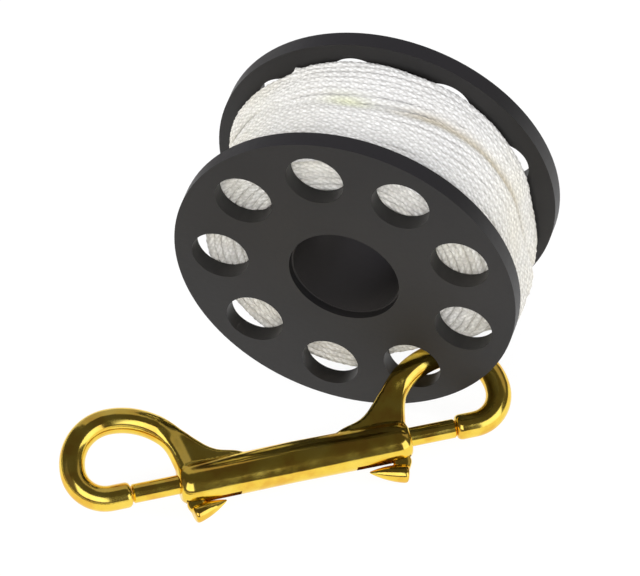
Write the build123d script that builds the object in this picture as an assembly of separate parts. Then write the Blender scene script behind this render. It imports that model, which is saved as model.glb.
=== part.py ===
from build123d import *
import math
import os

# Finger spool for guideline: two drilled flanges on a hub tube, a full winding of braided line, and a
# double-ended bolt snap clipped through one flange hole. Millimetres. +Y runs along the spool's bore,
# from the front flange to the rear one, +Z is up, and the origin is the middle of the finger bore.
# The spool stands on its rims and the snap leans beside it with its thumb knobs on the same surface.

# Spool body
flange_radius = 40.0
flange_thickness = 4.1
spool_width = 37.4
hole_count = 9
hole_radius_share = 0.1675
rim_strip_share = 0.1025
hole_turn = 23.7
clip_hole_index = 7
bore_radius = 12.5
hub_wall = 2.5
hub_socket_depth = 2.2
mouth_step = 0.4

# Line on the spool
line_width = 3.15
line_sides = 4
line_section_turn = 45.0
pile_sides = 30
line_turns = 7
pile_depth_below_rim = 7.1
pile_side_gap = 0.15
valley_depth = 1.6
valley_place_share = 0.08
valley_half_width = 4.4
press_depth = 6.3
press_width = 10.4
core_clearance = 0.5
end_bend_radius = 3.0
winding_start_angle = 200.0
heading_step = 0.1
gap_steps_per_turn = 160

# Snap, placed in its own plane: x along the bolts, y up through the eyes, z square to both
snap_yaw = 32.4
snap_lean = 27.5
hook_offset_x = 1.30
hook_offset_y = 1.67
hook_offset_z = -2.10
barrel_half_length = 27.0
barrel_width = 8.4
barrel_waist_height = 9.5
barrel_end_height = 9.75
barrel_drop = 0.17
barrel_waist_width_share = 0.92
barrel_end_break = 0.7
eye_length = 22.7
eye_rise = 17.5
eye_end_radius = 7.2
neck_radius = 16.5
neck_turn = 50.0
hole_turn_on_neck = 18.7
rod_diameter = 5.9
rod_sides = 10
barrel_sides = 16
tip_back = 11.2
tip_break = 0.8

# Bolts, thumb knobs and springs
bolt_diameter = 4.4
bolt_clearance = 0.05
bolt_tip_gap = 0.7
bolt_seat = 7.0
bolt_edge_break = 0.4
bolt_travel = 8.0
centre_wall_half = 4.0
stem_width = 2.4
stem_length = 4.2
stem_inset = 1.0
slot_side_clearance = 0.15
slot_end_clearance = 0.3
spigot_radius = 0.9
spigot_depth = 2.0
knob_drop = 1.15
knob_length = 8.4
knob_base_radius = 2.05
knob_inset = 0.8
knob_sides = 12
spring_wire = 0.5
spring_coils = 2
spring_sides = 4
spring_radial_gap = 0.2

overrun = 1.0

flange_middle = (spool_width - flange_thickness) / 2
gap_half = spool_width / 2 - flange_thickness
hole_radius = hole_radius_share * flange_radius
pitch_radius = flange_radius * (1 - rim_strip_share) - hole_radius
pile_radius = flange_radius - pile_depth_below_rim
hub_radius = bore_radius + hub_wall
line_radius = line_width / 2
clip_angle = hole_turn + clip_hole_index * 360 / hole_count


def along_y(solid, middle):
    """Turns a solid made about Z so that it lies about Y, with its middle at the given place."""
    return Pos(0, middle, 0) * Rot(-90, 0, 0) * solid


def ring_place(radius, degrees):
    """A place at the given radius and angle, measured from +X towards +Z."""
    return radius * math.cos(math.radians(degrees)), radius * math.sin(math.radians(degrees))


def flat_sided_ring(spot, width, height, sides):
    """A closed ring of flat sides round an oval, on the given plane."""
    corners = []
    for index in range(sides):
        turn = 2 * math.pi * (index + 0.5) / sides
        corners.append((width / 2 * math.cos(turn), height / 2 * math.sin(turn)))
    return (spot * Polygon(*corners)).face()


def flange(middle, inner_side):
    """A flat disc with nine holes, and a socket on its inner face for the hub tube."""
    disc = along_y(Cylinder(flange_radius, flange_thickness), middle)
    mouth = along_y(Cylinder(bore_radius + mouth_step, flange_thickness + overrun), middle)
    socket_middle = middle + inner_side * (flange_thickness - hub_socket_depth) / 2
    socket = along_y(Cylinder(hub_radius, hub_socket_depth), socket_middle)
    disc = disc - mouth - socket
    for index in range(hole_count):
        x, z = ring_place(pitch_radius, hole_turn + index * 360 / hole_count)
        disc -= Pos(x, 0, z) * along_y(Cylinder(hole_radius, flange_thickness + overrun), middle)
    return disc


def hub():
    """The plain tube that joins the flanges and lines the finger bore."""
    length = 2 * (gap_half + hub_socket_depth)
    return along_y(Cylinder(hub_radius, length) - Cylinder(bore_radius, length), 0)


# The clip presses the pile in on its own side near the front flange, so the turns there are circles
# that are set off away from the clip hole.
def press_at(y):
    share = (y + gap_half) / press_width
    return press_depth * math.cos(math.pi / 2 * min(max(share, 0), 1))


def valley_at(y):
    share = min(abs(y - valley_place_share * spool_width) / valley_half_width, 1)
    return valley_depth * (1 + math.cos(math.pi * share)) / 2


def turn_radius(y):
    return pile_radius - press_at(y) / 2 - valley_at(y)


def turn_middle(y):
    x, z = ring_place(-press_at(y) / 2, clip_angle)
    return Vector(x, y, z)


first_turn = -gap_half + pile_side_gap + line_radius
turn_pitch = -2 * first_turn / line_turns


def turn_point(angle):
    """The line's centre after the given angle in radians, counted from the winding's start."""
    y = first_turn + turn_pitch * angle / (2 * math.pi)
    heading = math.radians(winding_start_angle) + angle
    spoke = Vector(math.cos(heading), 0, math.sin(heading))
    return turn_middle(y) + spoke * turn_radius(y)


def turn_heading(angle):
    step = math.radians(heading_step)
    return (turn_point(angle + step) - turn_point(angle - step)).normalized()


def biarc(start, start_heading, end, end_heading):
    """Two arcs from start to end that leave and arrive along the given headings."""
    chord = end - start
    both = start_heading + end_heading
    across = chord.dot(both)
    bend = 2 * (1 - start_heading.dot(end_heading))
    reach = (math.sqrt(across * across + bend * chord.dot(chord)) - across) / bend
    knee = start + start_heading * reach
    elbow = end - end_heading * reach
    joint = (knee + elbow) * 0.5
    return [
        Edge.make_tangent_arc(start, start_heading, joint),
        Edge.make_tangent_arc(joint, (elbow - knee).normalized(), end),
    ]


def wound_tube(points, headings, width, sides, section_turn):
    """A tube of flat sides swept through the points on pairs of arcs, straight at both ends."""
    edges = [Edge.make_line(points[0], points[1])]
    for index in range(1, len(points) - 2):
        edges += biarc(points[index], headings[index], points[index + 1], headings[index + 1])
    edges.append(Edge.make_line(points[-2], points[-1]))
    path = Wire(edges)
    section = RegularPolygon(width / 2, sides, rotation=section_turn)
    face = Plane(origin=points[0], z_dir=headings[0]) * section
    return sweep(face, path=path), path


def tuck(place, heading, inward):
    """Bends an end of the line inwards and runs it straight for one line width."""
    knee = place + (heading + inward) * end_bend_radius
    return knee, knee + inward * line_width


def line_route():
    quarters = 4 * line_turns
    angles = [index * math.pi / 2 for index in range(quarters + 1)]
    points = [turn_point(angle) for angle in angles]
    headings = [turn_heading(angle) for angle in angles]
    start_in = (turn_middle(points[0].Y) - points[0]).normalized()
    end_in = (turn_middle(points[-1].Y) - points[-1]).normalized()
    start_knee, start_end = tuck(points[0], headings[0] * -1, start_in)
    end_knee, end_end = tuck(points[-1], headings[-1], end_in)
    points = [start_end, start_knee] + points + [end_knee, end_end]
    headings = [start_in * -1, start_in * -1] + headings + [end_in, end_in]
    return points, headings


# Places of the pile's rings: where the press ends, and both sides and the bottom of the valley
valley_place = valley_place_share * spool_width
pile_half = gap_half - pile_side_gap
core_places = (
    -pile_half,
    -pile_half + press_width / 2,
    press_width - gap_half,
    valley_place,
    valley_place + valley_half_width,
    pile_half,
)


def line_core(points, headings):
    """The plain pile of line under the outer turns, with a pocket for each end of the outer line."""
    rings = []
    for y in core_places:
        place = Plane(origin=turn_middle(y), x_dir=(1, 0, 0), z_dir=(0, 1, 0))
        width = 2 * (turn_radius(y) - line_radius - core_clearance)
        rings.append(flat_sided_ring(place, width, width, pile_sides))
    pile = loft(rings, ruled=True)
    pile -= along_y(Cylinder(hub_radius, spool_width), 0)
    from_end = (Align.CENTER, Align.CENTER, Align.MIN)
    pocket = Box(2 * line_width, 4 * line_width, flange_radius, align=from_end)
    for end, inward in ((points[0], headings[0] * -1), (points[-1], headings[-1])):
        pile -= Plane(origin=end, x_dir=(0, 1, 0), z_dir=inward * -1) * pocket
    return pile


def least_gap(path, width):
    """Least free space between places on the tube from a quarter turn to one and a half turns apart."""
    count = gap_steps_per_turn * line_turns
    places = [path @ (index / count) for index in range(count + 1)]
    nearest = gap_steps_per_turn // 4
    farthest = 6 * nearest
    least = flange_radius
    for first in range(0, count + 1):
        for second in range(first + nearest, min(first + farthest, count + 1)):
            least = min(least, (places[first] - places[second]).length)
    return least - width


# Snap
yaw = math.radians(snap_yaw)
lean = math.radians(snap_lean)
snap_along = Vector(math.cos(yaw), math.sin(yaw), 0)
snap_up = Vector(-math.sin(yaw) * math.cos(lean), math.cos(yaw) * math.cos(lean), math.sin(lean))
snap_square = snap_along.cross(snap_up)

# The eye's rod, on the +X end: from its tip along the bolt's line, round the eye's end and over its
# crown, and down the neck, which broadens towards the barrel's middle.
# Root rings: degrees round the neck, and as shares of the rod's diameter the neck's width there and
# how far its inner side has moved out towards the barrel's end
root_ring_shares = (
    (60.0, 1.12, 0.04),
    (69.0, 1.42, 0.10),
    (77.0, 1.78, 0.15),
    (80.5, 2.20, 0.15),
    (83.0, 2.80, 0.15),
)
eye_reach = barrel_half_length + eye_length
tip_place = eye_reach - tip_back
crown_radius = eye_rise - eye_end_radius
crown_place = eye_reach - crown_radius


def neck_place(degrees, width, inner_shift=0):
    turn = math.radians(degrees)
    radius = neck_radius + (width - rod_diameter) / 2 - inner_shift
    x = crown_place - radius * math.sin(turn)
    return Vector(x, eye_rise - neck_radius + radius * math.cos(turn), 0)


def rod_ring(middle, heading, width):
    """A flat-sided ring across the rod, as wide as given in the eye's plane."""
    spot = Plane(origin=middle, x_dir=Vector(0, 0, 1).cross(heading), z_dir=heading)
    return flat_sided_ring(spot, width, min(width, rod_diameter), rod_sides)


def snap_plane():
    """The snap's own plane: the neck passes the clip hole at a set offset from the hole's middle."""
    x, z = ring_place(pitch_radius, clip_angle)
    target = Vector(x + hook_offset_x, -flange_middle + hook_offset_y, z + hook_offset_z)
    neck = neck_place(hole_turn_on_neck, rod_diameter)
    origin = target - snap_along * neck.X - snap_up * neck.Y
    return Plane(origin=origin, x_dir=snap_along, z_dir=snap_square)


def eye():
    """One eye, on the +X end: a rod that grows out of the barrel and comes round to face the bolt."""
    out = Vector(1, 0, 0)
    tip = Vector(tip_place, 0, 0)
    shoulder = tip + out * tip_break
    low = Vector(eye_reach - eye_end_radius, 0, 0)
    far = Vector(eye_reach, eye_end_radius, 0)
    crown = Vector(crown_place, eye_rise, 0)
    path = Wire([
        Edge.make_line(shoulder, low),
        Edge.make_tangent_arc(low, out, far),
        Edge.make_tangent_arc(far, Vector(0, 1, 0), crown),
        Edge.make_tangent_arc(crown, out * -1, neck_place(neck_turn, rod_diameter)),
    ])
    first = rod_ring(shoulder, out, rod_diameter)
    blunt = loft([rod_ring(tip, out, rod_diameter - 2 * tip_break), first], ruled=True)
    rings = []
    for degrees, width_share, shift_share in ((neck_turn, 1, 0),) + root_ring_shares:
        turn = math.radians(degrees)
        heading = Vector(-math.cos(turn), -math.sin(turn), 0)
        width = width_share * rod_diameter
        middle = neck_place(degrees, width, shift_share * rod_diameter)
        rings.append(rod_ring(middle, heading, width))
    return sweep(first, path=path) + blunt + loft(rings, ruled=True)


# Places along the barrel: shares of its half length, and how far its section has grown to the end size
barrel_station_shares = ((0, 0), (0.26, 0.3), (0.5, 0.72), (0.78, 1.0), (0.97, 0.95))


def barrel():
    """The cast barrel, a little slimmer in the middle than at its ends."""
    rings = []
    signed = [(-place, growth) for place, growth in reversed(barrel_station_shares[1:])]
    for place, growth in signed + list(barrel_station_shares):
        rings.append(barrel_ring(place * barrel_half_length, growth, 0))
    ends = barrel_station_shares[-1][1]
    first = barrel_ring(-barrel_half_length, ends, barrel_end_break)
    last = barrel_ring(barrel_half_length, ends, barrel_end_break)
    return loft([first] + rings + [last], ruled=True)


def barrel_ring(x, growth, cut_back):
    height = barrel_waist_height + growth * (barrel_end_height - barrel_waist_height)
    width = barrel_width * (barrel_waist_width_share + growth * (1 - barrel_waist_width_share))
    spot = Plane(origin=(x, -barrel_drop, 0), x_dir=(0, 1, 0), z_dir=(1, 0, 0))
    return flat_sided_ring(spot, height - 2 * cut_back, width - 2 * cut_back, barrel_sides)


bolt_outer_end = tip_place - bolt_tip_gap
bolt_inner_end = barrel_half_length - bolt_seat
stem_outer = barrel_half_length - stem_inset
stem_middle = stem_outer - stem_length / 2
keel_depth = barrel_end_height / 2 + barrel_drop


def snap_body():
    body = barrel() + eye() + mirror(eye(), about=Plane.YZ)
    bore_length = barrel_half_length - centre_wall_half
    slot_outer = stem_outer + slot_end_clearance
    slot_inner = stem_outer - stem_length - bolt_travel - slot_end_clearance
    for side in (1, -1):
        bore_middle = side * (centre_wall_half + bore_length / 2 + overrun / 2)
        bore = Rot(0, 90, 0) * Cylinder(bolt_diameter / 2 + bolt_clearance, bore_length + overrun)
        body -= Pos(bore_middle, 0, 0) * bore
        slot = Box(slot_outer - slot_inner, keel_depth + overrun, stem_width + 2 * slot_side_clearance)
        body -= Pos(side * (slot_outer + slot_inner) / 2, -(keel_depth + overrun) / 2, 0) * slot
    return body


def bolt():
    """The right-hand bolt, with a cross hole for its thumb knob's spigot."""
    length = bolt_outer_end - bolt_inner_end
    middle = (bolt_outer_end + bolt_inner_end) / 2
    rod = Pos(middle, 0, 0) * Rot(0, 90, 0) * Cylinder(bolt_diameter / 2, length)
    rod = chamfer(rod.faces().sort_by(Axis.X)[-1].edges(), bolt_edge_break)
    return rod - spigot(spigot_depth)


def spigot(depth):
    """The round peg that holds a thumb knob in its bolt, from below the bolt up to the given depth."""
    low = -bolt_diameter / 2 - overrun
    high = -bolt_diameter / 2 + depth
    return Pos(stem_middle, (low + high) / 2, 0) * Rot(90, 0, 0) * Cylinder(spigot_radius, high - low)


# The bullet's outline, from its base to its point: shares of its base radius and of its length
bullet_shares = ((1.0, 0.0), (0.8, 0.4), (0.16, 1.0))


def thumb_knob():
    """The right-hand knob: a bullet that points to the snap's middle, on a stem through the slot."""
    knob_top = -keel_depth - knob_drop
    base = Vector(stem_outer - knob_inset, knob_top - knob_base_radius, 0)
    heading = Vector(-knob_length, knob_base_radius, 0).normalized()
    rings = []
    for across, along in bullet_shares:
        spot = Plane(origin=base + heading * (along * knob_length), x_dir=(0, 0, 1), z_dir=heading)
        width = 2 * across * knob_base_radius
        rings.append(flat_sided_ring(spot, width, width, knob_sides))
    bullet = loft(rings, ruled=True)
    seat = -bolt_diameter / 2 - bolt_clearance
    stem_foot = knob_top - knob_base_radius
    stem = Box(stem_length, seat - stem_foot, stem_width)
    stem = Pos(stem_middle, (seat + stem_foot) / 2, 0) * stem
    return bullet + stem + spigot(spigot_depth - bolt_clearance)


def spring():
    """The right-hand spring, wound from the blind end of the bore to the bolt's inner end."""
    coil_radius = bolt_diameter / 2 - spring_radial_gap - spring_wire / 2
    start = centre_wall_half + spring_wire / 2
    rise = (bolt_inner_end - spring_wire / 2 - start) / spring_coils
    points = []
    headings = []
    for index in range(4 * spring_coils + 1):
        angle = index * math.pi / 2
        spoke = Vector(0, math.cos(angle), math.sin(angle)) * coil_radius
        around = Vector(0, -math.sin(angle), math.cos(angle)) * coil_radius
        points.append(spoke + Vector(start + rise * index / 4, 0, 0))
        headings.append((around + Vector(rise / (2 * math.pi), 0, 0)).normalized())
    edges = []
    for index in range(len(points) - 1):
        edges += biarc(points[index], headings[index], points[index + 1], headings[index + 1])
    face = Plane(origin=points[0], z_dir=headings[0]) * RegularPolygon(spring_wire / 2, spring_sides)
    return sweep(face, path=Wire(edges))


os.makedirs("parts", exist_ok=True)
points, headings = line_route()
winding, route = wound_tube(points, headings, line_width, line_sides, line_section_turn)
section = line_sides / 2 * line_radius ** 2 * math.sin(2 * math.pi / line_sides)
print("winding volume", round(winding.volume), "section by length", round(section * route.length))
print("least gap of the line to itself", round(least_gap(route, line_width), 2))

place = snap_plane()
parts = {
    "front_flange": flange(-flange_middle, 1),
    "rear_flange": flange(flange_middle, -1),
    "hub_tube": hub(),
    "line_core": line_core(points, headings),
    "line_winding": winding,
    "snap_body": place * snap_body(),
}
for name, maker in (("bolt", bolt), ("thumb_knob", thumb_knob), ("spring", spring)):
    right = maker()
    parts[name + "_right"] = place * right
    parts[name + "_left"] = place * mirror(right, about=Plane.YZ)
for name, solid in parts.items():
    export_step(solid, "parts/" + name + ".step")
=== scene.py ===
"""Looks of the finger spool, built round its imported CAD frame.

Sizes are in millimetres until a mesh is made, except for the camera and the lamps, which are in metres."""

import math

import bpy
import numpy as np
from mathutils import Matrix, Vector, noise


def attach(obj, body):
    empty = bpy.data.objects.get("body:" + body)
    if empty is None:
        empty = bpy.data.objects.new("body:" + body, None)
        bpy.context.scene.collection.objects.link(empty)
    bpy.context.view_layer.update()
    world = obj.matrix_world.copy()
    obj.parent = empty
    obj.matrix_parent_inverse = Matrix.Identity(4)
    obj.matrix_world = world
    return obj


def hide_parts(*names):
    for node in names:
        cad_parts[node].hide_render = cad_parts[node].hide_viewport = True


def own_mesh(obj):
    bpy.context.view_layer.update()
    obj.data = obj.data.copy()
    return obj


MM = 0.001
FULL_TURN = 2 * math.pi

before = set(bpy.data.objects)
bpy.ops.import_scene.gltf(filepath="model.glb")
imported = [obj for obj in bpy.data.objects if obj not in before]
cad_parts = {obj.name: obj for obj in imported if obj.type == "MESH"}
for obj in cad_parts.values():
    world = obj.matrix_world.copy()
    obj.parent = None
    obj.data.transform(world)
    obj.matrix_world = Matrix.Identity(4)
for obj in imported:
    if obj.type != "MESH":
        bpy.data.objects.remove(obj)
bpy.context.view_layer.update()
scene = bpy.context.scene

# Camera: fitted to the flanges' rims and holes in the photograph
SENSOR_WIDTH = 36.0
FOCAL_LENGTH = 329.28
CAMERA_DISTANCE = 1.32575
CAMERA_RIGHT = -0.010724
CAMERA_UP = -0.015441


def add_camera():
    back = Vector((0.2023, -0.6628, 0.7209)).normalized()
    right = Vector((0.956, 0.292, 0.0)).normalized()
    up = back.cross(right)
    data = bpy.data.cameras.new("camera")
    data.lens = FOCAL_LENGTH
    data.sensor_width = SENSOR_WIDTH
    data.clip_start = 0.1
    data.clip_end = 20.0
    camera = bpy.data.objects.new("camera", data)
    scene.collection.objects.link(camera)
    place = back * CAMERA_DISTANCE + right * CAMERA_RIGHT + up * CAMERA_UP
    camera.matrix_world = Matrix((
        (right.x, up.x, back.x, place.x),
        (right.y, up.y, back.y, place.y),
        (right.z, up.z, back.z, place.z),
        (0, 0, 0, 1),
    ))
    scene.camera = camera


# Mesh helpers
def show(name, mesh):
    piece = bpy.data.objects.new(name, mesh)
    scene.collection.objects.link(piece)
    return piece


def mesh_of(name, points, faces):
    mesh = bpy.data.meshes.new(name)
    mesh.from_pydata([tuple(p) for p in np.asarray(points) * MM], [], [tuple(f) for f in faces])
    mesh.validate()
    mesh.update()
    mesh.polygons.foreach_set("use_smooth", [True] * len(mesh.polygons))
    return mesh


def loft(rings, capped=True):
    """Points and faces of a skin over closed rings of equal length."""
    rings = np.asarray(rings, float)
    count, sides = rings.shape[:2]
    faces = []
    for i in range(count - 1):
        for j in range(sides):
            k = (j + 1) % sides
            faces.append((i * sides + j, i * sides + k, (i + 1) * sides + k, (i + 1) * sides + j))
    if capped:
        faces.append(tuple(range(sides - 1, -1, -1)))
        faces.append(tuple(range((count - 1) * sides, count * sides)))
    return rings.reshape(-1, 3), faces


def joined(parts):
    """Points and faces of several parts as one."""
    points, faces, offset = [], [], 0
    for some_points, some_faces in parts:
        points.append(some_points)
        faces += [tuple(i + offset for i in f) for f in some_faces]
        offset += len(some_points)
    return np.concatenate(points), faces


def baked(piece):
    """Applies the piece's modifiers."""
    bpy.context.view_layer.update()
    graph = bpy.context.evaluated_depsgraph_get()
    mesh = bpy.data.meshes.new_from_object(piece.evaluated_get(graph))
    old = piece.data
    piece.modifiers.clear()
    piece.data = mesh
    bpy.data.meshes.remove(old)
    return piece


def melted(name, parts, voxel, rounds):
    """One skin over parts that run into each other, with the corners between them filled a little."""
    piece = show(name, mesh_of(name, *joined(parts)))
    remesh = piece.modifiers.new("remesh", "REMESH")
    remesh.mode = "VOXEL"
    remesh.voxel_size = voxel * MM
    remesh.use_smooth_shade = True
    smooth = piece.modifiers.new("smooth", "SMOOTH")
    smooth.factor = 0.5
    smooth.iterations = rounds
    return baked(piece)


def carved(piece, parts):
    """Cuts the parts out of the piece."""
    cutter = show("cutter", mesh_of("cutter", *joined(parts)))
    cut = piece.modifiers.new("cut", "BOOLEAN")
    cut.operation = "DIFFERENCE"
    cut.solver = "EXACT"
    cut.object = cutter
    baked(piece)
    bpy.data.objects.remove(cutter)
    return piece


def looked_up(value, table):
    """The height that a table of places and heights gives at the value."""
    return np.interp(value, [p[0] for p in table], [p[1] for p in table])


def eased(value, low, high):
    """0 below low and 1 above high, with a smooth rise between them."""
    share = min(max((value - low) / (high - low), 0.0), 1.0)
    return share * share * (3 - 2 * share)


def rounded(value, power):
    """A cosine or sine drawn towards 1, which squares a ring up. Its sign stays."""
    return math.copysign(abs(value) ** power, value)


# Snap: the same plane and sizes as in the CAD source. u runs along the barrel, v up the plane, w out of it.
yaw, lean = math.radians(32.4), math.radians(27.5)
along = np.array((math.cos(yaw), math.sin(yaw), 0))
upward = np.array((-math.sin(yaw) * math.cos(lean), math.cos(yaw) * math.cos(lean), math.sin(lean)))
square = np.cross(along, upward)
snap_origin = np.array((-3.396, -45.711, -34.071))
# The hooks' rod, and the arcs of its middle line: end, crown and neck
ROD = 5.9
ROD_SIDES = 80
RISE, END_R, REACH, NECK_R = 17.5, 7.2, 49.7, 16.5
CROWN_R = RISE - END_R
CROWN_U = REACH - CROWN_R
TIP_U, TIP_BREAK = 37.92, 0.95
# The barrel, with a bore from each end for bolt and spring, and a slot below for the knob's stem
HALF = 27.0
BLIND_END, BOLT_END, TRAVEL = 4.0, 20.0, 8.0
BORE_R = 2.25
SLOT_FROM, SLOT_TO, SLOT_HALF = 13.5, 26.15, 1.35
SNAP_VOXEL, KNOB_VOXEL = 0.34, 0.15


def in_space(local, side):
    """Points given along u, v and w, as points of the spool's frame. side -1 is the left end."""
    local = np.asarray(local, float)
    u = local[..., 0:1] * side
    return snap_origin + u * along + local[..., 1:2] * upward + local[..., 2:3] * square


def placed(part, side):
    """A part of the right end, brought to its end of the snap, with its faces the right way out."""
    points, faces = part
    if side < 0:
        faces = [tuple(reversed(f)) for f in faces]
    return in_space(points, side), faces


def section(middle, heading, wide):
    """A round ring across the rod. It starts on the rod's inner side."""
    heading = np.array((heading[0], heading[1], 0.0))
    heading /= np.linalg.norm(heading)
    across = np.array((-heading[1], heading[0], 0.0))
    ring = []
    for i in range(ROD_SIDES):
        a = FULL_TURN * i / ROD_SIDES
        offset = across * (math.cos(a) * wide / 2) + np.array((0, 0, math.sin(a) * wide / 2))
        ring.append(np.array((middle[0], middle[1], 0.0)) + offset)
    return ring


def eye_rings():
    """The eye from its tip over the crown to the upper neck."""
    rings = []
    # blunt rounded tip that faces the bolt
    for share in (0.0, 0.35, 0.7, 1.0):
        a = share * math.pi / 2
        width = ROD - 2 * TIP_BREAK * (1 - math.sin(a))
        rings.append(section((TIP_U + TIP_BREAK * (1 - math.cos(a)), 0), (1, 0), width))
    rings.append(section((41.0, 0), (1, 0), ROD))
    for degrees in range(-90, 1, 5):
        a = math.radians(degrees)
        middle = (REACH - END_R + END_R * math.cos(a), END_R + END_R * math.sin(a))
        rings.append(section(middle, (-math.sin(a), math.cos(a)), ROD))
    for degrees in range(5, 91, 5):
        a = math.radians(degrees)
        middle = (CROWN_U + CROWN_R * math.cos(a), END_R + CROWN_R * math.sin(a))
        rings.append(section(middle, (-math.sin(a), math.cos(a)), ROD))
    for degrees in range(3, 39, 3):
        a = math.radians(degrees)
        middle = (CROWN_U - NECK_R * math.sin(a), RISE - NECK_R + NECK_R * math.cos(a))
        rings.append(section(middle, (-math.cos(a), -math.sin(a)), ROD))
    return rings


# The neck's outer edge as degrees round its arc's centre and distance from it. It flares into the barrel.
OUTER_EDGE = ((0, 19.45), (46, 19.5), (54.4, 19.6), (63.7, 20.3), (71.6, 21.5), (76.3, 22.9), (79.3, 24.7),
              (81.2, 26.9), (82.5, 29.4), (88, 29.4))
NECK_FROM, NECK_STEP, NECK_RINGS = 37.5, 1.3, 39


def outer_edge(degrees):
    """The table's value, evened out over a few degrees."""
    near = np.linspace(degrees - 2.2, degrees + 2.2, 9)
    return float(looked_up(near, OUTER_EDGE).mean())


def ridge_height(s, wide):
    """Half the neck's thickness at the distance s from its inner edge: a ridge, a slope and a thin web."""
    return np.interp(s, (0, 0.3, 0.7, 1.1, 1.6, 4.1, wide - 0.9, wide - 0.35, wide),
                     (0, 1.1, 1.9, 2.25, 2.3, 1.55, 1.3, 0.95, 0))


def neck_rings():
    """The lower neck: its round rod turns into a ridge on the inner side that slopes down to a thin web."""
    rings = []
    steps = ROD_SIDES // 2
    for i in range(NECK_RINGS):
        degrees = NECK_FROM + NECK_STEP * i
        a = math.radians(degrees)
        inner = NECK_R - ROD / 2 - 0.9 * eased(degrees, 48, 77)
        wide = outer_edge(degrees) - inner
        change = eased(degrees, 38, 58)
        half = []
        for k in range(steps + 1):
            turn = math.pi * k / steps
            s = wide * (1 - math.cos(turn)) / 2
            half.append((s, (1 - change) * ROD / 2 * math.sin(turn) + change * ridge_height(s, wide)))
        start = np.array((CROWN_U, RISE - NECK_R, 0.0))
        spoke = np.array((-math.sin(a), math.cos(a), 0.0))
        ring = [start + spoke * (inner + s) + np.array((0, 0, h)) for s, h in half]
        ring += [start + spoke * (inner + s) - np.array((0, 0, h)) for s, h in reversed(half[1:-1])]
        rings.append(ring)
    return rings


# How the barrel's ends are rounded: distance from the end and depth cut from the section
BARREL_END = ((0, 1.5), (0.2, 1.0), (0.7, 0.55), (1.4, 0.22), (2.4, 0.0))
BARREL_SIDES = 48
BARREL_POWER = 2 / 2.15
TOP_NARROWS = 0.2


def barrel_size(u):
    """Height, width and middle of the barrel's section."""
    share = abs(u) / HALF
    growth = float(np.interp(share, (0, 0.26, 0.5, 0.78, 0.97, 1.0), (0, 0.3, 0.72, 1.0, 0.95, 0.93)))
    top = 4.55 - growth * 0.35
    bottom = 4.92 + growth * 0.13
    return top + bottom, 7.75 + growth * 0.65, (top - bottom) / 2


def barrel_rings():
    """The barrel: an egg-shaped section, narrower on top, that grows towards the ends."""
    rings = []
    places = [(back - HALF, cut) for back, cut in BARREL_END]
    places += [(u, 0.0) for u in np.linspace(-HALF + 3.4, HALF - 3.4, 41)]
    places += [(HALF - back, cut) for back, cut in reversed(BARREL_END)]
    for u, cut in places:
        height, width, middle = barrel_size(u)
        ring = []
        for i in range(BARREL_SIDES):
            a = FULL_TURN * i / BARREL_SIDES
            c, s = math.cos(a), math.sin(a)
            v = rounded(c, BARREL_POWER) * (height / 2 - cut)
            w = rounded(s, BARREL_POWER) * (width / 2 - cut) * (1 - TOP_NARROWS * max(c, 0) ** 2)
            ring.append((u, middle + v, w))
        rings.append(ring)
    return rings


def cylinder_between(u0, u1, radius, sides):
    angles = [FULL_TURN * i / sides for i in range(sides)]
    return [[(u, radius * math.cos(a), radius * math.sin(a)) for a in angles] for u in (u0, u1)]


def block(u0, u1, v0, v1, half):
    return [[(u, v0, -half), (u, v1, -half), (u, v1, half), (u, v0, half)] for u in (u0, u1)]


def snap_casting():
    """Barrel, necks and eyes as one skin, bored from both ends and slotted below."""
    parts = [placed(loft(barrel_rings()), 1)]
    for side in (1, -1):
        parts.append(placed(loft(eye_rings() + neck_rings()), side))
    piece = melted("snap_casting", parts, SNAP_VOXEL, 8)
    cuts = []
    for side in (1, -1):
        cuts.append(placed(loft(cylinder_between(BLIND_END, HALF + 1.0, BORE_R, 40)), side))
        cuts.append(placed(loft(block(SLOT_FROM, SLOT_TO, -6.5, 0.0, SLOT_HALF)), side))
    piece = carved(piece, cuts)
    piece.data.set_sharp_from_angle(angle=math.radians(40))
    return piece


# The knob's bullet as share of its length and share of its radius
BULLET = ((0.0, 0.70), (0.012, 0.86), (0.04, 0.96), (0.09, 1.0), (0.2, 0.98), (0.35, 0.91),
          (0.5, 0.79), (0.65, 0.63), (0.8, 0.42), (0.9, 0.25), (0.97, 0.12), (1.0, 0.04))
# The knob's stem as height in the plane, place of its outer face, width and thickness
STEM = ((-2.3, 26.1, 4.2, 2.3), (-4.8, 26.1, 4.2, 2.3), (-5.3, 26.2, 4.3, 2.35),
        (-6.0, 26.05, 4.1, 2.5), (-7.0, 25.5, 3.4, 2.9), (-8.0, 24.9, 2.6, 3.2))
BULLET_SIDES, STEM_SIDES = 36, 28
STEM_POWER = 0.6


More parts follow.
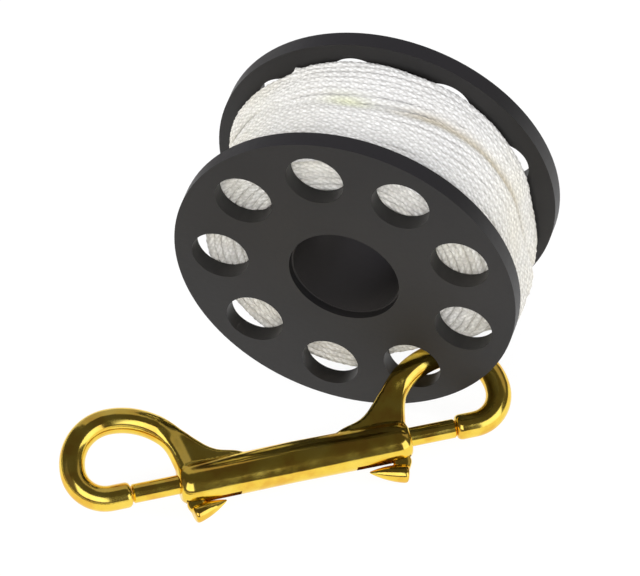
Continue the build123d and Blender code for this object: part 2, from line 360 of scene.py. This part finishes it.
def knob_parts(side):
    """The bullet under the barrel and its stem. The left one is a little shorter."""
    base, top, radius, length = (24.8, -6.1, 2.15, 9.0) if side > 0 else (25.2, -5.7, 2.05, 8.4)
    tilt = math.atan2(radius, length)
    axis = np.array((-math.cos(tilt), math.sin(tilt), 0))
    beside = np.array((math.sin(tilt), math.cos(tilt), 0))
    start = np.array((base, top - radius, 0))
    rings = []
    for t, r in BULLET:
        ring = []
        for i in range(BULLET_SIDES):
            a = FULL_TURN * i / BULLET_SIDES
            offset = beside * (math.cos(a) * r * radius) + np.array((0, 0, math.sin(a) * r * radius))
            ring.append(start + axis * (t * length) + offset)
        rings.append(ring)
    bullet = loft(rings)
    rings = []
    for v, outer, wide, thick in STEM:
        ring = []
        for i in range(STEM_SIDES):
            a = FULL_TURN * i / STEM_SIDES
            u = outer - wide / 2 + rounded(math.cos(a), STEM_POWER) * wide / 2
            ring.append((u, v, rounded(math.sin(a), STEM_POWER) * thick / 2))
        rings.append(ring)
    points, faces = loft(rings)
    return bullet, (points, [tuple(reversed(f)) for f in faces])


def knob_piece(name, side):
    return melted(name, [placed(part, side) for part in knob_parts(side)], KNOB_VOXEL, 3)


COIL_R, WIRE_R, COILS = 1.75, 0.25, 12
COIL_STEPS, WIRE_SIDES = 24, 8
SPRING_PLAY = 0.05


def coil_spring(name, side):
    """A coil spring from the bore's blind end to the bolt."""
    low = BLIND_END + SPRING_PLAY
    high = BOLT_END - SPRING_PLAY
    rings = []
    for i in range(COILS * COIL_STEPS + 1):
        turned = i / COIL_STEPS
        # the end coils lie closer together, as on a real spring
        spread = np.interp(turned, (0, 1, COILS - 1, COILS), (0, 0.035, 0.965, 1))
        u = low + WIRE_R + (high - low - 2 * WIRE_R) * spread
        angle = FULL_TURN * turned
        spoke = np.array((0, math.cos(angle), math.sin(angle)))
        ring = []
        for k in range(WIRE_SIDES):
            a = FULL_TURN * k / WIRE_SIDES
            out = spoke * (COIL_R + WIRE_R * math.cos(a))
            ring.append(np.array((u + WIRE_R * math.sin(a), 0, 0)) + out)
        rings.append(ring)
    return show(name, mesh_of(name, *placed(loft(rings), side)))


# Line: braided, wound on the hub. The pile's own form gives every turn its radius.
# From the middle to a flange, and the line's half width and height above its middle
GAP = 14.6
LINE_HALF, LINE_RISE = 0.95, 0.85
BRAID_HEIGHT = 0.21
BRAID_PITCH = 2.05
# Radii: where the pile begins, where its visible turns begin, what sets the turns' steps, and its surface
CORE_R, OUTSIDE_R, TURN_R, PILE_R = 15.2, 31, 33, 34.0
# Where the snap's hook lies and where the crease is tinted, in degrees round the spool
HOOK_AT, LIME_AT = -55.0, 100
# The crease between the two heaps of turns as degrees and place along the bore
CREASE = ((-180, 6.2), (-60, 6.8), (17, 6.7), (34, 6.5), (45, 6.2), (56, 5.4), (64, 4.8), (71, 4.0),
          (80, 2.8), (86, 2.4), (94, 2.2), (102, 2.6), (112, 3.4), (125, 3.9), (137, 4.4), (146, 5.4),
          (160, 6.0), (180, 6.2))
# How the rear heap's surface rises and falls, as degrees and height
REAR_HEAP = ((-40, 0), (-16, 0.3), (2, -0.7), (12, -0.9), (20, -0.9), (28, -1.0), (36, -0.9), (45, -0.7),
             (58, -0.2), (70, 0), (121, 0), (128, -0.7), (134, -0.6), (142, -0.2), (150, 0))
# How deep the snap's hook presses the line in, as place along the bore and depth
PRESS = ((-14.6, 5.7), (-11.5, 5.5), (-9, 5.0), (-7, 4.2), (-4, 3.6), (-2, 1.4), (0, 0))


def angle_from(degrees, middle):
    return abs((degrees - middle + 180) % 360 - 180)


def bell(value, width):
    return math.exp(-(value / width) ** 2)


def valley_y(degrees):
    """Where the crease between the two heaps of turns lies."""
    return looked_up((degrees + 180) % 360 - 180, CREASE)


def pressed(degrees):
    """1 where the snap's hook presses the line in, fading to 0 beside it."""
    return 1 - eased(angle_from(degrees, HOOK_AT), 11, 34)


def pile_radius(y, degrees):
    """The outer surface of the wound line."""
    degrees = (degrees + 180) % 360 - 180
    crease = y - valley_y(degrees)
    radius = PILE_R + 1.1 * eased(y, -14.5, -7.0) + 0.35 * eased(crease, 1.0, 6.0)
    radius -= 1.6 * bell(crease, 2.1)
    radius += looked_up(degrees, REAR_HEAP) * eased(y, 5.0, 10.0)
    # a bulge at the left and the line's end under the rear turns
    radius += 1.3 * bell(angle_from(degrees, 166), 15) * eased(y, 2.0, 8.0)
    radius += 0.9 * bell(angle_from(degrees, 126.4), 1.7) * eased(y, 10.5, 12.5)
    # slack turns that hang out at the lower right
    slack = 5.2 * bell(degrees + 20, 13) * (1 - pressed(degrees))
    radius += slack * eased(y, -13.5, -7.0) * (1 - 0.6 * eased(y, 5.0, 14.0))
    return radius - looked_up(y, PRESS) * pressed(degrees)


def wander(angle, seed, size):
    """A smooth wobble round the spool, the same each run."""
    return size * noise.noise(Vector((math.cos(angle) * 2.1, math.sin(angle) * 2.1, seed)))


def braid_height(distance, theta, phase):
    """Strand crowns in a diamond lattice that slips along the line. They differ, as in a soft braid."""
    slip = phase + 2.2 * np.sin(distance * 0.043 + phase) + 1.1 * np.sin(distance * 0.127 + 2 * phase)
    slip += 0.5 * np.sin(distance * 0.71 + theta)
    around = theta / math.radians(66) + 0.09 * slip + 0.1 * np.sin(distance * 1.13 + 3 * phase)
    lattice = 0.5 * (np.cos(FULL_TURN * distance / BRAID_PITCH + slip) + np.cos(FULL_TURN * around))
    uneven = np.sin(distance * 2.3 + 5.1 * theta + phase)
    uneven *= np.sin(distance * 0.93 - 2.9 * theta + 2 * phase)
    return BRAID_HEIGHT * lattice ** 2 * (0.85 + 0.45 * uneven)


def braided(centres, outs, sides, columns, phase):
    """An open half tube of braided line along the centres, with its back to the pile."""
    centres, outs, sides = np.asarray(centres), np.asarray(outs), np.asarray(sides)
    steps = np.linalg.norm(np.diff(centres, axis=0), axis=1)
    distance = np.concatenate(([0], np.cumsum(steps)))
    thetas = np.linspace(-math.radians(100), math.radians(100), columns)
    points, painted_shade_and_lime = [], []
    for theta in thetas:
        height = braid_height(distance, theta, phase)
        out = (LINE_RISE - 0.1) * math.cos(theta) + height * math.cos(theta)
        wide = (LINE_HALF - 0.1) * math.sin(theta) + height * math.sin(theta)
        points.append(centres + outs * out[:, None] + sides * wide[:, None])
        # Painted shade: low values, which the line's material draws darker, in the grooves between the
        # strand crowns and on the line's flanks
        painted_shade_and_lime.append(np.clip(height / BRAID_HEIGHT, 0, 1) * (0.45 + 0.55 * max(math.cos(theta), 0)))
    points = np.stack(points, 1)
    painted_shade_and_lime = np.stack(painted_shade_and_lime, 1)
    faces = []
    for i in range(len(centres) - 1):
        for j in range(columns - 1):
            a = i * columns + j
            faces.append((a, a + columns, a + columns + 1, a + 1))
    return points.reshape(-1, 3), faces, painted_shade_and_lime.reshape(-1)


def turn_group(first_y, last_y, turns, start, seed, lift=0.0, tuck=0.0):
    """Turns round the pile from one y to another. Without a last y they fan out to the crease.

    start is the first turn's angle in radians, lift raises the turns and tuck sinks their two ends."""
    step, columns = 0.29, 10
    count = int(turns * FULL_TURN * TURN_R / step)
    lanes = turns - 1 if last_y is None else turns
    edge = GAP - LINE_HALF - 0.05
    centres, outs, sides = [], [], []
    for i in range(count + 1):
        turned = turns * i / count
        angle = start + turned * FULL_TURN
        degrees = math.degrees(angle)
        # each turn lies beside the last and steps over in one short crossing
        whole = math.floor(turned)
        lane = whole + eased(turned - whole, 0.72, 1.0)
        goal = valley_y(degrees) - math.copysign(0.3, first_y) if last_y is None else last_y
        y = first_y + (goal - first_y) * min(lane / lanes, 1.0)
        y += wander(angle, seed + whole * 0.37, 0.5)
        y = min(max(y, -edge), edge)
        radius = pile_radius(y, degrees) - LINE_RISE + lift
        radius += wander(angle * 1.7, seed + 9 + whole * 0.61, 0.3)
        radius -= tuck * (1 - eased(360 * min(turned, turns - turned), 0, 18))
        out = np.array((math.cos(angle), 0, math.sin(angle)))
        centres.append(out * radius + np.array((0, y, 0)))
        outs.append(out)
        sides.append((0, 1.0, 0))
    return braided(centres, outs, sides, columns, seed)


def side_group(face):
    """The turns that lie against a flange, seen through its holes. face is -1 in front, 1 behind."""
    step, columns = 0.36, 7
    groups = []
    radii = [19.9 + 1.64 * k for k in range(9)]
    deepest = GAP - 0.08 - LINE_RISE
    for k, nominal in enumerate(radii):
        count = int(FULL_TURN * nominal / step)
        centres, outs, sides = [], [], []
        for i in range(count + 1):
            angle = FULL_TURN * i / count
            top = pile_radius(face * GAP, math.degrees(angle)) - 0.75
            radius = nominal + wander(angle, 3.1 * k + face, 0.55)
            radius = min(radius, top - (radii[-1] - nominal) * 0.45)
            depth = min(deepest - 0.04 + wander(angle, 7.7 * k - face, 0.12), deepest)
            spoke = np.array((math.cos(angle), 0, math.sin(angle)))
            centres.append(spoke * radius + np.array((0, face * depth, 0)))
            outs.append((0, float(face), 0))
            sides.append(spoke * -face)
        groups.append(braided(centres, outs, sides, columns, 1.7 * k))
    return groups


def pile_surface():
    """The body of line under the visible turns, open at the hub."""
    angles = np.linspace(0, FULL_TURN, 180, False)
    places = np.linspace(LINE_HALF - GAP, GAP - LINE_HALF, 40)
    rings = [[(CORE_R * math.cos(a), places[0], CORE_R * math.sin(a)) for a in angles]]
    for y in places:
        ring = []
        for a in angles:
            r = pile_radius(y, math.degrees(a)) - LINE_RISE - 0.5 * pressed(math.degrees(a))
            ring.append((r * math.cos(a), y, r * math.sin(a)))
        rings.append(ring)
    rings.append([(CORE_R * math.cos(a), places[-1], CORE_R * math.sin(a)) for a in angles])
    return loft(rings, capped=False)


def toned(piece, painted_shade_and_lime):
    """Keeps a painted shade from 0, in the grooves of the braid, to 1, on its bumps. Beside it the colour
    holds the painted shade along the crease and the lime tint, and a second attribute how creamy the line
    is."""
    layer = piece.data.color_attributes.new("painted_shade_and_lime", "FLOAT_COLOR", "POINT")
    count = len(piece.data.vertices)
    places = np.zeros(count * 3, np.float32)
    piece.data.vertices.foreach_get("co", places)
    places = places.reshape(-1, 3) / MM
    degrees = np.degrees(np.arctan2(places[:, 2], places[:, 0]))
    crease = places[:, 1] - np.array([valley_y(d) for d in degrees])
    outside = np.hypot(places[:, 0], places[:, 2]) > OUTSIDE_R
    # Painted shade: the line is drawn darker and browner along the crease between the two heaps of turns
    crease_shade = np.exp(-(crease / 1.3) ** 2) * outside
    crease_shade = crease_shade * np.clip((degrees + 10) / 25, 0, 1) * np.clip((88 - degrees) / 20, 0, 1)
    lime = np.exp(-((crease - 0.3) / 1.7) ** 2) * np.exp(-((degrees - LIME_AT) / 9) ** 2) * outside
    values = np.ones((count, 4), np.float32)
    values[:, 0], values[:, 1], values[:, 2] = painted_shade_and_lime, crease_shade, lime
    layer.data.foreach_set("color", values.ravel())
    # The line is creamier away from the top of the spool and on the turns against the flanges
    away_from_top = np.clip((np.abs(degrees - 80) - 22) / 55, 0, 1)
    cream = np.where(outside, 0.15 + 0.85 * away_from_top, 0.9)
    piece.data.attributes.new("cream", "FLOAT", "POINT").data.foreach_set("value", cream.astype(np.float32))
    return piece


def line_piece(name, groups):
    points, faces = joined([(some_points, some_faces) for some_points, some_faces, _ in groups])
    return toned(show(name, mesh_of(name, points, faces)), np.concatenate([painted_shade_and_lime for _, _, painted_shade_and_lime in groups]))


# Materials
def material(name):
    made = bpy.data.materials.new(name)
    made.use_nodes = True
    nodes, links = made.node_tree.nodes, made.node_tree.links
    nodes.clear()
    out = nodes.new("ShaderNodeOutputMaterial")
    shader = nodes.new("ShaderNodeBsdfPrincipled")
    links.new(shader.outputs["BSDF"], out.inputs["Surface"])
    return made, nodes, links, shader


def clouds(nodes, links, scale, detail):
    """Noise of the given scale, fixed to the piece."""
    node = nodes.new("ShaderNodeTexNoise")
    node.inputs["Scale"].default_value = scale
    node.inputs["Detail"].default_value = detail
    links.new(nodes.new("ShaderNodeTexCoord").outputs["Object"], node.inputs["Vector"])
    return node.outputs["Fac"]


def ramp(nodes, links, source, stops):
    node = nodes.new("ShaderNodeValToRGB")
    elements = node.color_ramp.elements
    while len(elements) < len(stops):
        elements.new(0.5)
    for element, (position, colour) in zip(elements, stops):
        element.position = position
        element.color = (*colour, 1)
    links.new(source, node.inputs["Fac"])
    return node.outputs["Color"]


def span(nodes, links, source, low, high, from_low=0.0, from_high=1.0):
    node = nodes.new("ShaderNodeMapRange")
    node.inputs["From Min"].default_value = from_low
    node.inputs["From Max"].default_value = from_high
    node.inputs["To Min"].default_value = low
    node.inputs["To Max"].default_value = high
    links.new(source, node.inputs["Value"])
    return node.outputs["Result"]


def bump(nodes, links, source, strength, distance):
    node = nodes.new("ShaderNodeBump")
    node.inputs["Strength"].default_value = strength
    node.inputs["Distance"].default_value = distance
    links.new(source, node.inputs["Height"])
    return node.outputs["Normal"]


def tinted(nodes, links, base, colour, amount):
    """base, multiplied by the colour where amount says so."""
    node = nodes.new("ShaderNodeMix")
    node.data_type = "RGBA"
    node.blend_type = "MULTIPLY"
    node.inputs["B"].default_value = (*colour, 1)
    links.new(base, node.inputs["A"])
    links.new(amount, node.inputs["Factor"])
    return node.outputs["Result"]


def plastic(name, level):
    """Fine satin black. level is its brightness."""
    made, nodes, links, shader = material(name)
    broad = clouds(nodes, links, 45, 2)
    low = (0.82 * level, 0.75 * level, 0.70 * level)
    high = (1.05 * level, 0.94 * level, 0.86 * level)
    links.new(ramp(nodes, links, broad, [(0.3, low), (0.7, high)]), shader.inputs["Base Color"])
    fine = clouds(nodes, links, 900, 4)
    links.new(span(nodes, links, fine, 0.40, 0.52), shader.inputs["Roughness"])
    links.new(bump(nodes, links, fine, 0.10, 0.0002), shader.inputs["Normal"])
    shader.inputs["Specular IOR Level"].default_value = 0.4
    return made


def brass():
    """Polished and slightly wavy, as a casting is."""
    made, nodes, links, shader = material("polished_brass")
    broad = clouds(nodes, links, 190, 3)
    stops = [(0.34, (0.84, 0.50, 0.065)), (0.5, (0.92, 0.64, 0.085)), (0.66, (0.95, 0.69, 0.11))]
    links.new(ramp(nodes, links, broad, stops), shader.inputs["Base Color"])
    shader.inputs["Metallic"].default_value = 1.0
    links.new(span(nodes, links, broad, 0.10, 0.19, 0.3, 0.7), shader.inputs["Roughness"])
    wavy = clouds(nodes, links, 160, 2)
    links.new(bump(nodes, links, wavy, 0.25, 0.0003), shader.inputs["Normal"])
    return made


def steel():
    made, nodes, links, shader = material("spring_steel_wire")
    fine = clouds(nodes, links, 1500, 2)
    stops = [(0.3, (0.42, 0.42, 0.43)), (0.7, (0.58, 0.58, 0.58))]
    links.new(ramp(nodes, links, fine, stops), shader.inputs["Base Color"])
    shader.inputs["Metallic"].default_value = 1.0
    links.new(span(nodes, links, fine, 0.25, 0.4), shader.inputs["Roughness"])
    return made


def line_material():
    """White braid with painted shade in its grooves, on its flanks and along the crease, creamier at the
    sides, and a lime tint in the crease.
    """
    made, nodes, links, shader = material("braided_line")
    painted_shade_and_lime = nodes.new("ShaderNodeAttribute")
    painted_shade_and_lime.attribute_name = "painted_shade_and_lime"
    parts = nodes.new("ShaderNodeSeparateColor")
    links.new(painted_shade_and_lime.outputs["Color"], parts.inputs["Color"])
    # Painted shade: grey in the braid's grooves and on the line's flanks, white on its bumps
    stops = [(0.0, (0.58, 0.57, 0.56)), (0.3, (0.79, 0.79, 0.79)), (1.0, (0.89, 0.89, 0.90))]
    shade = ramp(nodes, links, parts.outputs["Red"], stops)
    broad = clouds(nodes, links, 60, 3)
    patchy = span(nodes, links, broad, 0.55, 1.0, 0.4, 0.6)
    cream_amount = nodes.new("ShaderNodeAttribute")
    cream_amount.attribute_name = "cream"
    cream = nodes.new("ShaderNodeMath")
    cream.operation = "MULTIPLY"
    links.new(patchy, cream.inputs[0])
    links.new(cream_amount.outputs["Fac"], cream.inputs[1])
    colour = tinted(nodes, links, shade, (1.0, 0.965, 0.86), cream.outputs[0])
    # Painted shade: darker and browner along the crease
    colour = tinted(nodes, links, colour, (0.74, 0.68, 0.56), parts.outputs["Green"])
    colour = tinted(nodes, links, colour, (0.90, 0.92, 0.72), parts.outputs["Blue"])
    specks = clouds(nodes, links, 1100, 2)
    worn = span(nodes, links, specks, 0.0, 1.0, 0.62, 0.40)
    colour = tinted(nodes, links, colour, (0.87, 0.87, 0.87), worn)
    links.new(colour, shader.inputs["Base Color"])
    shader.inputs["Roughness"].default_value = 0.75
    fibre = clouds(nodes, links, 2600, 3)
    links.new(bump(nodes, links, fibre, 0.3, 0.00008), shader.inputs["Normal"])
    return made


def paint(piece, made):
    piece.data.materials.clear()
    piece.data.materials.append(made)


# Surroundings: a white floor and world for camera and gloss, lamps, and boards that only gloss sees
FLOOR_Z, TABLE_Z = -40.05, -39.6
FAR = 3000
ONE_QUAD = [(0, 1, 2, 3)]


def seen_white(tree):
    """1 for camera, glossy and transmission rays."""
    path = tree.nodes.new("ShaderNodeLightPath")
    first = tree.nodes.new("ShaderNodeMath")
    first.operation = "MAXIMUM"
    tree.links.new(path.outputs["Is Camera Ray"], first.inputs[0])
    tree.links.new(path.outputs["Is Glossy Ray"], first.inputs[1])
    second = tree.nodes.new("ShaderNodeMath")
    second.operation = "MAXIMUM"
    tree.links.new(first.outputs[0], second.inputs[0])
    tree.links.new(path.outputs["Is Transmission Ray"], second.inputs[1])
    return second.outputs[0]


def mixed(tree, share, first, second, out):
    """Links two shaders to the output, blended by the share."""
    blend = tree.nodes.new("ShaderNodeMixShader")
    tree.links.new(share, blend.inputs["Fac"])
    tree.links.new(first.outputs[0], blend.inputs[1])
    tree.links.new(second.outputs[0], blend.inputs[2])
    tree.links.new(blend.outputs[0], out.inputs["Surface"])


def pale_ground():
    """White paper that glows for the rays that see it white, so only a faint shadow shows."""
    made = bpy.data.materials.new("pale_ground")
    made.use_nodes = True
    tree = made.node_tree
    tree.nodes.clear()
    out = tree.nodes.new("ShaderNodeOutputMaterial")
    paper = tree.nodes.new("ShaderNodeBsdfDiffuse")
    paper.inputs["Color"].default_value = (0.9, 0.9, 0.9, 1)
    glow = tree.nodes.new("ShaderNodeEmission")
    glow.inputs["Strength"].default_value = 1.03
    share = tree.nodes.new("ShaderNodeMath")
    share.operation = "MULTIPLY"
    share.inputs[1].default_value = 0.9
    tree.links.new(seen_white(tree), share.inputs[0])
    mixed(tree, share.outputs[0], paper, glow, out)
    return made


def add_floor():
    corners = [(-FAR, -FAR, FLOOR_Z), (FAR, -FAR, FLOOR_Z), (FAR, FAR, FLOOR_Z), (-FAR, FAR, FLOOR_Z)]
    floor = show("floor", mesh_of("floor", corners, ONE_QUAD))
    floor.data.materials.append(pale_ground())


def add_world():
    world = bpy.data.worlds.new("studio")
    scene.world = world
    world.use_nodes = True
    tree = world.node_tree
    tree.nodes.clear()
    out = tree.nodes.new("ShaderNodeOutputWorld")
    room = tree.nodes.new("ShaderNodeBackground")
    room.inputs["Color"].default_value = (1, 1, 1, 1)
    room.inputs["Strength"].default_value = 0.62
    pale = tree.nodes.new("ShaderNodeBackground")
    pale.inputs["Color"].default_value = (1, 1, 1, 1)
    pale.inputs["Strength"].default_value = 1.0
    mixed(tree, seen_white(tree), room, pale, out)


def lamp(name, spot, size, power):
    """An area lamp aimed at the spool. Gloss doesn't see it. spot and size are in metres."""
    data = bpy.data.lights.new(name, "AREA")
    data.shape = "RECTANGLE"
    data.size, data.size_y = size
    data.energy = power
    made = bpy.data.objects.new(name, data)
    scene.collection.objects.link(made)
    made.location = spot
    made.rotation_mode = "QUATERNION"
    made.rotation_quaternion = (-Vector(spot)).to_track_quat("-Z", "Y")
    made.visible_glossy = False


def board(name, points, faces, strength, colour):
    """A glowing board that only gloss sees."""
    made = show(name, mesh_of(name, points, faces))
    skin = bpy.data.materials.new(name)
    skin.use_nodes = True
    nodes = skin.node_tree.nodes
    nodes.clear()
    out = nodes.new("ShaderNodeOutputMaterial")
    glow = nodes.new("ShaderNodeEmission")
    glow.inputs["Color"].default_value = (*colour, 1)
    glow.inputs["Strength"].default_value = strength
    skin.node_tree.links.new(glow.outputs[0], out.inputs["Surface"])
    made.data.materials.append(skin)
    made.visible_camera = False
    made.visible_diffuse = False
    made.visible_shadow = False


def angles_between(low, high):
    """Angles from low to high, about ten degrees apart."""
    return np.radians(np.linspace(low, high, max(2, int((high - low) / 10) + 1)))


def panel(name, turn, rise, distance, strength, colour):
    """A curved board round the spool. turn and rise are degrees, seen from the spool: turn 0 is to the
    front and 90 to the right, rise is above the floor."""
    turns = angles_between(*turn)
    rises = angles_between(*rise)
    points = []
    for r in rises:
        for t in turns:
            reach = distance * math.cos(r)
            points.append((reach * math.sin(t), -reach * math.cos(t), distance * math.sin(r)))
    wide = len(turns)
    faces = []
    for i in range(len(rises) - 1):
        for j in range(wide - 1):
            faces.append((i * wide + j, i * wide + j + 1, (i + 1) * wide + j + 1, (i + 1) * wide + j))
    board(name, points, faces, strength, colour)


def table_board(name, corners):
    """A flat board just above the floor, which the brass mirrors as a table's edge."""
    board(name, [(x, y, TABLE_Z) for x, y in corners], ONE_QUAD, 0.16, (1, 0.85, 1.0))


add_camera()

# The flanges, the tube and the bolts keep the CAD's shape and get materials of their own
black, gold, wire, white = plastic("satin_black_plastic", 0.0138), brass(), steel(), line_material()
for node in ("front_flange", "rear_flange"):
    paint(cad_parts[node], black)
paint(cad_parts["hub_tube"], plastic("black_tube_plastic", 0.034))
for node in ("bolt_left", "bolt_right"):
    paint(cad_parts[node], gold)

# Line pieces
# The pile under the turns gets a low painted shade throughout
pile = toned(show("line_pile", mesh_of("line_pile", *pile_surface())), 0.25)
front_turns = line_piece("line_front_turns", [
    turn_group(-13.6, None, turns=12, start=0.6, seed=1.0),
])
rear_turns = line_piece("line_rear_turns", [
    turn_group(13.6, None, turns=8, start=2.2, seed=5.0),
    turn_group(13.6, 13.3, turns=1.05, start=0.2, seed=14.0, lift=0.1),
])
loose_turns = line_piece("line_loose_turns", [
    turn_group(-12.0, -4.0, turns=1.2, start=4.4, seed=11.0, lift=0.12, tuck=1.7),
])
front_side = line_piece("line_front_side", side_group(-1))
rear_side = line_piece("line_rear_side", side_group(1))
for piece in (pile, front_turns, rear_turns, loose_turns, front_side, rear_side):
    paint(piece, white)
    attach(piece, "spool")
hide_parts("line_core")
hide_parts("line_winding")

# Snap pieces
casting = snap_casting()
paint(casting, gold)
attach(casting, "snap")
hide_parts("snap_body")
for side, word in ((-1, "left"), (1, "right")):
    knob = knob_piece("knob_" + word, side)
    paint(knob, gold)
    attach(knob, word + "_bolt")
    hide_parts("thumb_knob_" + word)
    spring = coil_spring("coil_spring_" + word, side)
    paint(spring, wire)
    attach(spring, "snap")
    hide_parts("spring_" + word)
    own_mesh(spring)

# Floor, world and light
add_floor()
add_world()
lamp("key", (0.25, -0.95, 0.70), (0.55, 0.55), 7.9)
lamp("fill", (0.9, 0.1, 0.55), (0.4, 0.6), 4.0)
lamp("side", (-0.9, -0.25, 0.5), (0.4, 0.6), 5.6)
DIM = (1.0, 0.98, 1.05)
WINDOW = (0.92, 1.0, 1.45)
panel("ceiling", (-180, 180), (2, 90), 2600, 0.075, DIM)
panel("wall_behind", (150, 236), (2, 69), 2500, 0.42, (1, 0.97, 1.2))
panel("wall_corner", (108, 150), (28, 62), 2480, 0.36, (1, 0.95, 1.2))
panel("wall_front", (-66, 36), (2, 46), 2450, 0.14, (1, 0.95, 1.3))
panel("window_front", (-20, 33), (16, 55), 2400, 1.6, WINDOW)
panel("window_right", (50, 88), (2, 42), 2400, 1.5, WINDOW)
panel("wall_side", (90, 150), (2, 45), 2500, 0.10, DIM)
table_board("table_left", [(-FAR, -FAR), (-118, -FAR), (-118, 200), (-FAR, 200)])
table_board("table_front", [(-118, -FAR), (120, -FAR), (50, -128), (-118, -128)])

scene.view_settings.view_transform = "Standard"
